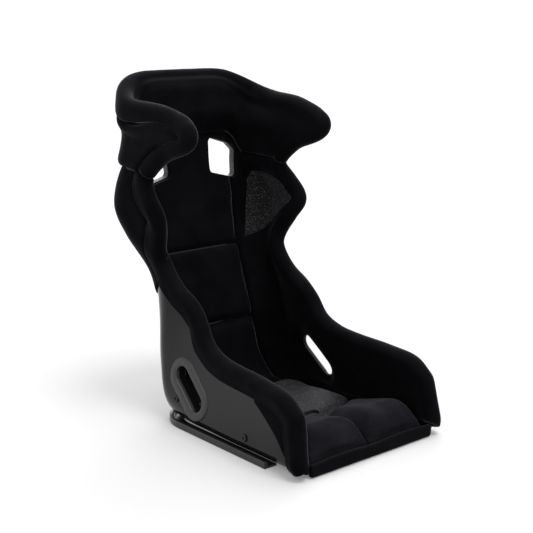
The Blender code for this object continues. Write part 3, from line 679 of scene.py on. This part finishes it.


# Steel of the side inserts, coloured near black: the dark colour is painted shade; the inserts
# themselves are zinc-plated steel.
def shade_darkened_steel(name):
    s = Surface(name)
    shades = ((0.3, (0.004, 0.004, 0.0045)), (0.7, (0.008, 0.008, 0.0085)))
    s.feed(s.ramp(s.noise(120.0, 3.0), shades), "Base Color")
    s.feed(s.span(s.noise(240.0, 2.0), 0.38, 0.55), "Roughness")
    s.set(Metallic=0.1, Specular_IOR_Level=0.3)
    return s.mat


# Pieces ------------------------------------------------------------------------------------------

BODY = "root"
FRAMES = 20                   # length of each cloth simulation
SHOULDER_HOLE = ((0.071, 0.628), (0.163, 0.604), (0.172, 0.682), (0.150, 0.704), (0.074, 0.728))
SHOULDER_RADIUS = 0.014
SHOULDER_CUT = (0.60, 0.85)   # y where the cut through the back starts and ends
SLEEVE = 0.0022               # wall of a belt sleeve
SLEEVE_CUT = SLEEVE + 0.0008  # holes for sleeves are wider by this much all round
LAP_CENTRE = (0.437, 0.1125)  # y, z of the lap belt opening in the side wall
LAP_FACE = 0.235              # distance of the shell's outer face from the centre plane there
LAP_SLOPE = (0.038, -0.182)   # slope of that face along y and z
LAP_SLANT = (0.5, -0.2)       # how far the opening moves along y and z for each metre outwards
LAP_ANGLE = math.radians(40)
LAP_RUN = 0.045               # half the distance between the centres of its round ends
LAP_RADIUS = 0.0245           # and their radius
LAP_PAD = 0.014               # height of the bolster's padding round the opening
LAP_CUT = (-0.10, 0.06)       # the cut runs this far to either side of that face
CROTCH_CENTRE = (0.0, 0.232)
CROTCH_RUN = 0.026
CROTCH_RADIUS = 0.009
CROTCH_CUT = (-0.05, 0.12)    # z where the cut through the pan starts and ends
INSERT_PLACES = (2.35, 5.45)  # stations of the side inserts


def settle(obj, node):
    """Attach a piece to the seat's body and hide the CAD part that it stands for."""
    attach(obj, BODY)
    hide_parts(node)


def settle_pair(obj, stem):
    """The same for a left piece and its mirror image."""
    obj.name = obj.data.name = "looks_" + stem + "_left"
    twin = mirrored(obj, "looks_" + stem + "_right")
    settle(obj, stem + "_left")
    settle(twin, stem + "_right")


def wall_share(k):
    """Share of the way from the bolster's inner edge to the rim, closer together at the corner."""
    return (k / BOLSTER_COLUMNS) ** 1.3


def head_line(t):
    """Station of the seam between bolster and head pad, t of the way to the rim."""
    return mix(HEAD_START, NECK, smooth(t / 0.3))


def bolster_band(u, a):
    """The roll is narrower outside the shoulder, where the rim turns tightly."""
    return mix(ROLL_BAND, 0.027, smooth(1 - abs(u - 12.0) / 1.5))


def head_band(u, a):
    """The roll is wide along the top and narrow round each wing."""
    return mix(HEAD_BAND, TIP_BAND, smooth((abs(a) / reach(u) - 0.45) / 0.5))


def rim_inset(u, band, margin):
    """Distance from the rim at u that keeps a margin from the roll, all along the rim nearby."""
    nearby = [min(max(u + 0.1 * k, 0.0), LAST) for k in range(-14, 15)]
    roll = [(place(v, reach(v)), band(v, reach(v))) for v in nearby]

    def gap(inset):
        here = place(u, reach(u) - inset)
        return min((here - rim).length - width for rim, width in roll)

    return solve(gap, margin, 0.0, 0.2)


def tucked(height, distance, width=0.012, edge=0.45):
    """Height of padding at a distance from a seam, where the cover is drawn down to the shell."""
    return height * mix(edge, 1.0, math.sqrt(smooth(distance / width)))


def lap_distance(u, a):
    """Distance of a point of the side wall from the middle line of the lap belt opening."""
    point = place(u, a)
    y, z = point.y - LAP_CENTRE[0] - DEPTH_SHIFT, point.z - LAP_CENTRE[1]
    along = min(max(y * math.cos(LAP_ANGLE) + z * math.sin(LAP_ANGLE), -LAP_RUN), LAP_RUN)
    return math.hypot(y - along * math.cos(LAP_ANGLE), z - along * math.sin(LAP_ANGLE))


def bolster_lift(u, a, s, t):
    low = mix(0.029, BACK_LIFT, smooth((u - 4) / 3))
    middle = mix(0.036, BACK_LIFT, smooth((u - 4) / 3))
    full = mix(mix(low, middle, smooth(t / 0.25)), ROLL_INNER, smooth((t - 0.3) / 0.7))
    full = mix(min(full, LAP_PAD), full, smooth((lap_distance(u, a) - LAP_RADIUS - 0.003) / 0.034))
    from_pads = abs(a) - table(INNER_EDGE, u)
    from_head = (head_line(t) - NECK_SEAM - u) * 0.05
    return tucked(full, min(from_pads, from_head))


def build_bolster(mat, cutters):
    rows = 66
    grid = []
    for i in range(rows + 1):
        line = []
        for k in range(BOLSTER_COLUMNS + 1):
            t = wall_share(k)
            u = (head_line(t) - NECK_SEAM) * i / rows
            line.append((u, mix(table(INNER_EDGE, u), reach(u), t)))
        grid.append(line)
    pad = Panel(grid, bolster_lift, SKIN_GAP, ("rim", "front"), bolster_band).build("bolster", mat)
    subdivided(pad)
    ripple(pad, 0.0011, 0.055, 1)
    cut(pad, *cutters)
    settle_pair(pad, "side_bolster")


def head_place(kind, share, s):
    t = abs(share) if kind == "wall" else 0.0
    u = mix(head_line(t) + NECK_SEAM, LAST, s)
    inner = table(INNER_EDGE, u)
    if kind == "flat":
        return u, share * inner
    if share == 0.0:
        return u, inner
    return u, math.copysign(mix(inner, reach(u), t), share)


def head_lift(u, a, s, t):
    """The head pad is thick behind the head and thin on the wings."""
    side = smooth((abs(a) - 0.08) / 0.25)
    deep = mix(HEAD_LIFT, ROLL_INNER, side) * mix(0.45, 1.0, smooth(s / 0.4))
    full = mix(max(deep, BACK_LIFT), WING_LIFT, smooth((s - 0.75) / 0.25) * (1 - side))
    return tucked(full, s * 0.10)


def build_head_pad(mat):
    rows = 22
    half = [wall_share(k) for k in range(BOLSTER_COLUMNS + 1)]
    columns = [("wall", -t) for t in reversed(half)] + [("flat", f / 4) for f in range(-3, 4)]
    columns += [("wall", t) for t in half]
    grid = []
    for i in range(rows + 1):
        line = []
        for n, (kind, share) in enumerate(columns):
            u, a = head_place(kind, share, i / rows)
            line.append((u, -a if n == BOLSTER_COLUMNS else a))
        grid.append(line)
    pad = Panel(grid, head_lift, SKIN_GAP, ("left", "top", "rim"), head_band, FLUSH_THICK)
    pad = pad.build("looks_head_pad", mat)
    subdivided(pad)
    ripple(pad, 0.0013, 0.06, 2)
    settle(pad, "head_pad")


def cover_lift(s, t, thick):
    """Outer covers are drawn down at their edges."""
    near = min(s, 1 - s, t, 1 - t)
    return -(SHELL_THICK + SKIN_GAP + thick * mix(0.72, 1.0, math.sqrt(smooth(near / 0.10))))


def inset_table(low, high, band):
    """Rows of (u, inset) along the rim, for table()."""
    stations = [mix(low, high, k / 24) for k in range(25)]
    return [(u, rim_inset(u, band, 0.0)) for u in stations]


FRONT_TOP = 0.030             # distance from the rim to the upper edge of the front cover
FRONT_HEM = (                 # station, distance from the rim to the lower edge
    (0.12, 0.128), (0.55, 0.126), (0.83, 0.116), (1.15, 0.093), (1.8, 0.050), (2.05, 0.038))


def build_covers(mat):
    shoulder_inset = inset_table(COVER_START, NECK, bolster_band)
    head_inset = inset_table(NECK, LAST, head_band)

    def shoulder(s, t):
        u = mix(COVER_START, NECK - NECK_SEAM, s)
        return u, mix(COVER_EDGE, reach(u) - table(shoulder_inset, u), t)

    def head(s, t):
        def across(u):
            return mix(COVER_EDGE, reach(u) - table(head_inset, u), t)

        edge, along_edge = place(LAST, across(LAST)), frame_at(LAST, across(LAST))[1].normalized()
        clear = head_band(LAST, across(LAST)) + SEAM

        def below(back):
            return (place(LAST - back, across(LAST - back)) - edge).cross(along_edge).length

        u = mix(NECK + NECK_SEAM, LAST - solve(below, clear, 0.0, 2.0), s)
        return u, across(u)

    def front(s, t):
        u = mix(FRONT_HEM[0][0], FRONT_HEM[-1][0], s)
        return u, reach(u) - mix(table(FRONT_HEM, u), FRONT_TOP, t)

    under = SHELL_THICK + SKIN_GAP
    for stem, where, rows, cols, thick in (
            ("shoulder_cover", shoulder, 30, 22, COVER_THICK),
            ("head_side_cover", head, 22, 26, FLUSH_THICK + WING_SWELL),
            ("front_side_cover", front, 24, 14, COVER_THICK)):
        grid = grid_of(rows, cols, where)
        panel = Panel(grid, lambda u, a, s, t: cover_lift(s, t, thick), -under)
        cover = subdivided(panel.build(stem, mat))
        ripple(cover, 0.0006, 0.04, 3)
        settle_pair(cover, stem)


def pillow(full, edge, width):
    """Lift that swells from the edges of a pad to its full height."""
    def lift(u, a, s, t):
        height = full(u, a) if callable(full) else full
        near = min(s, 1 - s, t, 1 - t)
        return height * mix(edge, 1.0, math.sqrt(smooth(near / width)))
    return lift


def build_back_pads(cutters):
    def pad(stem, u0, u1, rows, lift, cuts=()):
        def where(s, t):
            u = mix(u0, u1, s)
            half = table(INNER_EDGE, u) - SEAM / 2
            return u, mix(-half, half, t)

        mat = velour("velour_" + stem)
        panel = Panel(grid_of(rows, 26, where), pillow(lift - 0.002, 0.55, 0.12), 0.001)
        solid = inflated(panel.build("looks_" + stem, mat), 0.005)
        if cuts:
            cut(solid, *cuts)
        settle(solid, stem)

    pad("lower_back_pad", CUSHION_END + PAD_SEAM, LUMBAR_START - PAD_SEAM, 26, BACK_LIFT)
    pad("lumbar_pad", LUMBAR_START + PAD_SEAM, UPPER_START - PAD_SEAM, 20, BACK_LIFT + 0.001)
    pad("upper_back_pad", UPPER_START + PAD_SEAM, HEAD_START - 2 * PAD_SEAM, 34, UPPER_LIFT,
        cutters)


def front_seam(a):
    """How far back the seam between thigh pads and seat cushion lies, a from the centre line."""
    return 0.200 + 0.080 * (abs(a) / CUSHION_HALF) ** 1.3


def build_cushions(crotch):
    def thigh(s, t):
        a = mix(SEAM, CUSHION_HALF, t)
        return u_at_depth(mix(0.006, front_seam(a) - SEAM, s)), a

    def thigh_height(u, a):
        return mix(0.090, 0.032, smooth(station(u)[0] / 0.27))

    def centre(s, t):
        a = mix(-CUSHION_HALF, CUSHION_HALF, t)
        u = mix(u_at_depth(front_seam(a) + SEAM), CUSHION_END - PAD_SEAM, s)
        half = min(CUSHION_HALF, table(INNER_EDGE, u) - SEAM)
        return u, a * half / CUSHION_HALF

    def centre_height(u, a):
        return mix(0.031, 0.022, smooth((station(u)[0] - 0.2) / 0.25))

    pad = Panel(grid_of(26, 22, thigh), pillow(thigh_height, 0.20, 0.24), 0.001)
    # The thigh pads' velour is painted 2.8 times lighter: painted light on their upward-facing
    # tops.
    pad = inflated(pad.build("thigh", velour("velour_thigh", 2.8)), 0.006)
    settle_pair(pad, "thigh_pad")
    seat = Panel(grid_of(26, 40, centre), pillow(centre_height, 0.55, 0.10), 0.001)
    cushion = inflated(seat.build("looks_seat_cushion", grip_fabric("grip_fabric_seat")), 0.004)
    cut(cushion, crotch)
    settle(cushion, "seat_cushion")


def build_front_roll(mat):
    """Padded lip across the front edge of the pan, drawn in a little at its centre."""
    half_width, back, front, low, high = 0.214, 0.0, -0.016, 0.0015, 0.036
    steps, sides = 40, 20
    loops = []
    for k in range(steps + 1):
        x = mix(-half_width, half_width, k / steps)
        droop = 0.002 * math.cos(x * 30)
        loop = []
        for n in range(sides):
            phi = 2 * math.pi * n / sides
            across = math.copysign(abs(math.cos(phi)) ** 0.55, math.cos(phi))
            up = math.copysign(abs(math.sin(phi)) ** 0.6, math.sin(phi))
            y = (front + back) / 2 + across * (back - front) / 2
            z = (low + high) / 2 + up * (high - low) / 2
            loop.append(Vector((x, y + DEPTH_SHIFT, z - droop * smooth(z / high))))
        loops.append(loop)
    roll = subdivided(tube("looks_front_edge_roll", loops, mat))
    ripple(roll, 0.0006, 0.03, 4)
    settle(roll, "front_edge_roll")


GRIP_OUTLINE = (              # corners of the shoulder patch: station, share from inner edge to rim
    (10.1, 0.14), (10.15, 0.66), (10.5, 0.86), (11.0, 0.95), (11.6, 0.99), (12.2, 0.99),
    (12.9, 0.98), (13.35, 0.90), (13.3, 0.62), (12.95, 0.34), (12.3, 0.17), (11.4, 0.14))
GRIP_RANGE = (10.13, 13.34)   # stations the patch is built between


def build_grips():
    """Grip fabric on the inner face of each shoulder wing, with a bound edge."""
    rows, cols = 30, 22

    def share_range(u):
        """The outline's lowest and highest shares at a station."""
        crossings = []
        for (u0, t0), (u1, t1) in zip(GRIP_OUTLINE, GRIP_OUTLINE[1:] + GRIP_OUTLINE[:1]):
            if (u0 - u) * (u1 - u) <= 0 and u0 != u1:
                crossings.append(mix(t0, t1, (u - u0) / (u1 - u0)))
        return min(crossings), max(crossings)

    def where(s, t):
        u = mix(*GRIP_RANGE, s)
        low, high = share_range(u)
        inner = table(INNER_EDGE, u)
        return u, mix(inner, reach(u), mix(low, high, t)), mix(low, high, t)

    verts, faces = [], []
    for layer in (0, 1):
        for i in range(rows + 1):
            for j in range(cols + 1):
                s, t = i / rows, j / cols
                u, a, share = where(s, t)
                near = min(s, 1 - s, t, 1 - t)
                height = bolster_lift(u, a, 0.0, share)
                height += mix(0.0004, 0.0034, math.sqrt(smooth(near / 0.08))) if layer else -0.003
                verts.append(lifted(u, a, height))
    stride, size = cols + 1, (rows + 1) * (cols + 1)
    for i in range(rows):
        for j in range(cols):
            p, q = i * stride + j, (i + 1) * stride + j
            quad = (p, q, q + 1, p + 1)
            faces += [quad, tuple(corner + size for corner in quad)]
    edge = list(range(cols)) + [i * stride + cols for i in range(rows)]
    edge += [rows * stride + j for j in range(cols, 0, -1)]
    edge += [i * stride for i in range(rows, 0, -1)]
    for k, p in enumerate(edge):
        q = edge[(k + 1) % len(edge)]
        faces.append((p, q, q + size, p + size))
    grip = subdivided(new_object("grip", verts, faces, grip_fabric("grip_fabric_shoulder")))
    settle_pair(grip, "shoulder_grip")


def build_shell(mat, cutters):
    """The moulded shell, with a closely stepped surface for clean reflections."""
    rows = 132
    grid = []
    for i in range(rows + 1):
        u = LAST * i / rows
        flat, corner, wall = profile(u)[:3]
        half = [flat * k / 4 for k in range(5)] + [flat + corner * k / 12 for k in range(1, 13)]
        half += [flat + corner + wall * k / 5 for k in range(1, 6)]
        grid.append([(u, -a) for a in reversed(half[1:])] + [(u, a) for a in half])
    shell = Panel(grid, lambda u, a, s, t: 0.0, -SHELL_THICK).build("looks_shell", mat)
    cut(shell, *cutters)
    settle(shell, "shell")


def build_flange(mat):
    """Moulded foot round the sides and rear: a flat rail with an upstand along the shell."""
    half_width, front, rear, corner = 0.2495, 0.105, 0.572, 0.110
    inside, outside, wall, thick, tall, soft = -0.030, 0.009, -0.001, 0.0055, 0.018, 0.0016
    path = [(half_width, front + (rear - corner - front) * k / 12) for k in range(13)]
    for k in range(1, 19):
        phi = math.pi / 2 * k / 18
        path.append((half_width - corner * (1 - math.cos(phi)),
                     rear - corner + corner * math.sin(phi)))
    path += [(-x, y) for x, y in reversed(path)]
    section = ((inside, 0.0), (outside - soft, 0.0), (outside, soft), (outside, tall - soft),
               (outside - soft, tall), (wall + soft, tall), (wall, tall - soft),
               (wall, thick + soft), (wall - soft, thick), (inside, thick))
    loops = []
    for k, (x, y) in enumerate(path):
        before, after = path[max(k - 1, 0)], path[min(k + 1, len(path) - 1)]
        out = Vector((after[1] - before[1], before[0] - after[0])).normalized()
        loops.append([(x + out.x * shift, y + out.y * shift + DEPTH_SHIFT, rise)
                      for shift, rise in section])
    flange = crisp(tube("looks_base_flange", loops, mat), 30)
    settle(flange, "base_flange")


def circle(centre, axis, radius, depth, steps=40):
    side = axis.cross(Vector((0, 0, 1))).normalized()
    up = side.cross(axis)
    return [centre + axis * depth + side * (radius * math.cos(2 * math.pi * k / steps))
            + up * (radius * math.sin(2 * math.pi * k / steps)) for k in range(steps)]


def build_inserts(mat):
    """Threaded inserts for side brackets: chamfered collar and thread grooves."""
    bore, radius, chamfer, pitch = 0.0034, 0.010, 0.0007, 0.00125
    low, high = 0.0005, SHELL_THICK + 0.004
    for stem, u in zip(("side_insert_front", "side_insert_rear"), INSERT_PLACES):
        flat, corner = profile(u)[:2]
        a = flat + corner * 1.04
        centre, axis = place(u, a), -frame_at(u, a)[2]
        loops = [(bore + chamfer, low), (radius, low), (radius, high - chamfer),
                 (radius - chamfer, high), (bore + chamfer, high)]
        threads = int((high - low - 2 * chamfer) / pitch)
        for n in range(threads):
            depth = high - chamfer - pitch * n
            loops += [(bore, depth), (bore + 0.0005, depth - pitch / 2)]
        part = tube(stem, [circle(centre, axis, r, d) for r, d in loops], mat, True)
        settle_pair(crisp(part, 30), stem)


def shoulder_outline():
    return divided(rounded(SHOULDER_HOLE, SHOULDER_RADIUS, 8), 0.006)


def build_shoulder_trims(mat):
    """Sleeves through the shoulder belt holes, with a rounded lip behind the shell."""
    outline = shoulder_outline()

    def loop(out, lift):
        return [Vector((x, place(u_at_height(z), x).y - lift, z)) for x, z in outset(outline, out)]

    rear = -(SHELL_THICK + 0.0014)
    soft = 0.0008
    section = ((0.0, 0.0112), (soft, 0.0122), (SLEEVE, 0.0116), (SLEEVE, rear), (0.0085, rear),
               (0.009, rear - soft), (0.009 - soft, rear - 0.003), (soft, rear - 0.003),
               (0.0, rear - 0.003 + soft))
    trim = tube("trim", [loop(out, lift) for out, lift in section], mat, True)
    settle_pair(crisp(trim), "shoulder_belt_trim")


def shoulder_cutter(mat):
    hole = outset(shoulder_outline(), SLEEVE_CUT)
    sides = [[Vector((x, y + DEPTH_SHIFT, z)) for x, z in hole] for y in SHOULDER_CUT]
    return prism("shoulder_hole", *sides, mat)


def lap_loop(depth, radius):
    """Loop of the lap belt opening, a depth outside the shell's face; it slants rearwards."""
    centre_y = LAP_CENTRE[0] + LAP_SLANT[0] * depth + DEPTH_SHIFT
    centre_z = LAP_CENTRE[1] + LAP_SLANT[1] * depth
    loop = []
    for y, z in stadium((centre_y, centre_z), LAP_RUN, radius, LAP_ANGLE, 18):
        slope = LAP_SLOPE[0] * (y - centre_y) + LAP_SLOPE[1] * (z - centre_z)
        loop.append(Vector((LAP_FACE + depth + slope, y, z)))
    return loop


def build_bezels(mat):
    """Bezels round the lap belt openings: a flat rim, nearly flush with the shell."""
    section = ((-0.0040, 0.0003), (0.0035, 0.0003), (0.0043, 0.0012), (0.0056, 0.0050),
               (0.0058, 0.0070), (0.0056, 0.0190), (0.0050, 0.0212), (0.0040, 0.0222),
               (0.0001, 0.0225), (-0.0040, 0.0225))
    loops = [lap_loop(depth, LAP_RADIUS + out) for depth, out in section]
    bezel = tube("bezel", loops, mat, True)
    settle_pair(crisp(bezel, 50), "lap_belt_bezel")


def build_crotch_trim(mat):
    centre = (CROTCH_CENTRE[0], CROTCH_CENTRE[1] + DEPTH_SHIFT)
    outline = stadium(centre, CROTCH_RUN, CROTCH_RADIUS, 0.0, 16)
    under = station(u_at_depth(CROTCH_CENTRE[1]))[1] - SHELL_THICK - 0.0004
    soft = 0.0007

    def loop(out, z):
        return [Vector((x, y, z)) for x, y in outset(outline, out)]

    section = ((0.0, 0.0350), (soft, 0.0362), (SLEEVE, 0.0356), (SLEEVE, under), (0.009, under),
               (0.009, under - 0.0018), (0.0083, under - 0.0025), (soft, under - 0.0025),
               (0.0, under - 0.0018))
    loops = [loop(out, z) for out, z in section]
    trim = tube("looks_crotch_belt_trim", loops, mat, True)
    settle(crisp(trim), "crotch_belt_trim")


def crotch_cutter(mat):
    centre = (CROTCH_CENTRE[0], CROTCH_CENTRE[1] + DEPTH_SHIFT)
    hole = outset(stadium(centre, CROTCH_RUN, CROTCH_RADIUS, 0.0, 16), SLEEVE_CUT)
    ends = [[Vector((x, y, z)) for x, y in hole] for z in CROTCH_CUT]
    return prism("crotch_hole", *ends, mat)


# Studio ------------------------------------------------------------------------------------------

def build_studio():
    """White floor and surroundings, with soft light from above and from both sides."""
    floor_mat = Surface("studio_floor")
    shades = ((0.3, (0.345, 0.345, 0.345)), (0.7, (0.355, 0.355, 0.355)))
    floor_mat.feed(floor_mat.ramp(floor_mat.noise(0.8), shades), "Base Color")
    floor_mat.set(Roughness=0.9, Specular_IOR_Level=0.0,
                  Emission_Color=(1.0, 1.0, 1.0, 1.0), Emission_Strength=0.17)
    size = 120.0
    corners = [(-size, -size, 0.0), (size, -size, 0.0), (size, size, 0.0), (-size, size, 0.0)]
    floor = new_object("studio_floor", corners, [(0, 1, 2, 3)], floor_mat.mat)

    world = bpy.context.scene.world or bpy.data.worlds.new("studio")
    bpy.context.scene.world = world
    world.use_nodes = True
    world.node_tree.nodes["Background"].inputs["Color"].default_value = (1.0, 1.0, 1.0, 1.0)
    world.node_tree.nodes["Background"].inputs["Strength"].default_value = 1.0

    for name, strength, softness, source in (
            ("key_light", 2.3, 50.0, (0.45, 0.40, 1.0)),
            ("top_light", 2.4, 24.0, (0.10, -0.30, 1.0)),
            ("rim_light", 1.5, 35.0, (1.0, 0.75, 0.55)),
            ("fill_light", 0.5, 30.0, (-1.0, -0.1, 0.9))):
        light = bpy.data.lights.new(name, "SUN")
        light.energy, light.angle = strength, math.radians(softness)
        lamp = bpy.data.objects.new(name, light)
        lamp.location = Vector(source) * 3.0
        lamp.rotation_euler = (-Vector(source)).to_track_quat("-Z", "Y").to_euler()
        bpy.context.scene.collection.objects.link(lamp)

    camera = bpy.data.cameras.new("camera")
    camera.lens, camera.sensor_width = 75.6, 36.0
    view = bpy.data.objects.new("camera", camera)
    view.location = (-1.897, -1.835 + DEPTH_SHIFT, 1.098)
    view.rotation_euler = (math.radians(90.0 - 13.1), 0.0, math.radians(-40.3))
    bpy.context.scene.collection.objects.link(view)
    bpy.context.scene.camera = view
    bpy.context.scene.view_settings.view_transform = "Standard"


def main():
    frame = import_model()
    build_studio()

    plain = moulding("cutter", (0.1, 0.1, 0.1), 0.5)
    shoulder = shoulder_cutter(plain)
    shoulder_twin = mirrored(shoulder, "shoulder_hole_right")
    lap = prism("lap_opening", *[lap_loop(depth, LAP_RADIUS) for depth in LAP_CUT], plain)
    lap_twin = mirrored(lap, "lap_opening_right")
    crotch = crotch_cutter(plain)
    cutters = (shoulder, shoulder_twin, lap, lap_twin, crotch)

    build_shell(gelcoat("gelcoat"), cutters)
    build_flange(moulding("satin_foot", (0.008, 0.008, 0.0085), 0.30))
    build_inserts(shade_darkened_steel("shade_darkened_steel"))
    build_bolster(velour("velour_bolster"), (shoulder, lap))
    build_head_pad(velour("velour_head"))
    # The outer covers' velour is painted darker (0.8): painted shade on the sides turned away from
    # the light.
    build_covers(velour("velour_outer", 0.8))
    build_back_pads((shoulder, shoulder_twin))
    build_cushions(crotch)
    build_front_roll(velour("velour_front"))
    build_grips()
    build_shoulder_trims(moulding("trim_plastic", (0.035, 0.035, 0.036), 0.45))
    build_bezels(moulding("bezel_plastic", (0.010, 0.010, 0.0105), 0.36))
    build_crotch_trim(moulding("crotch_plastic", (0.035, 0.035, 0.036), 0.45))
    for cutter in cutters:
        bpy.data.objects.remove(cutter)

    tape = hooks("hook_tape")
    for node in ("lower_back_tape", "lumbar_tape", "upper_back_tape", "thigh_tape", "cushion_tape"):
        frame["nodes"][node].material_slots[0].material = tape


main()
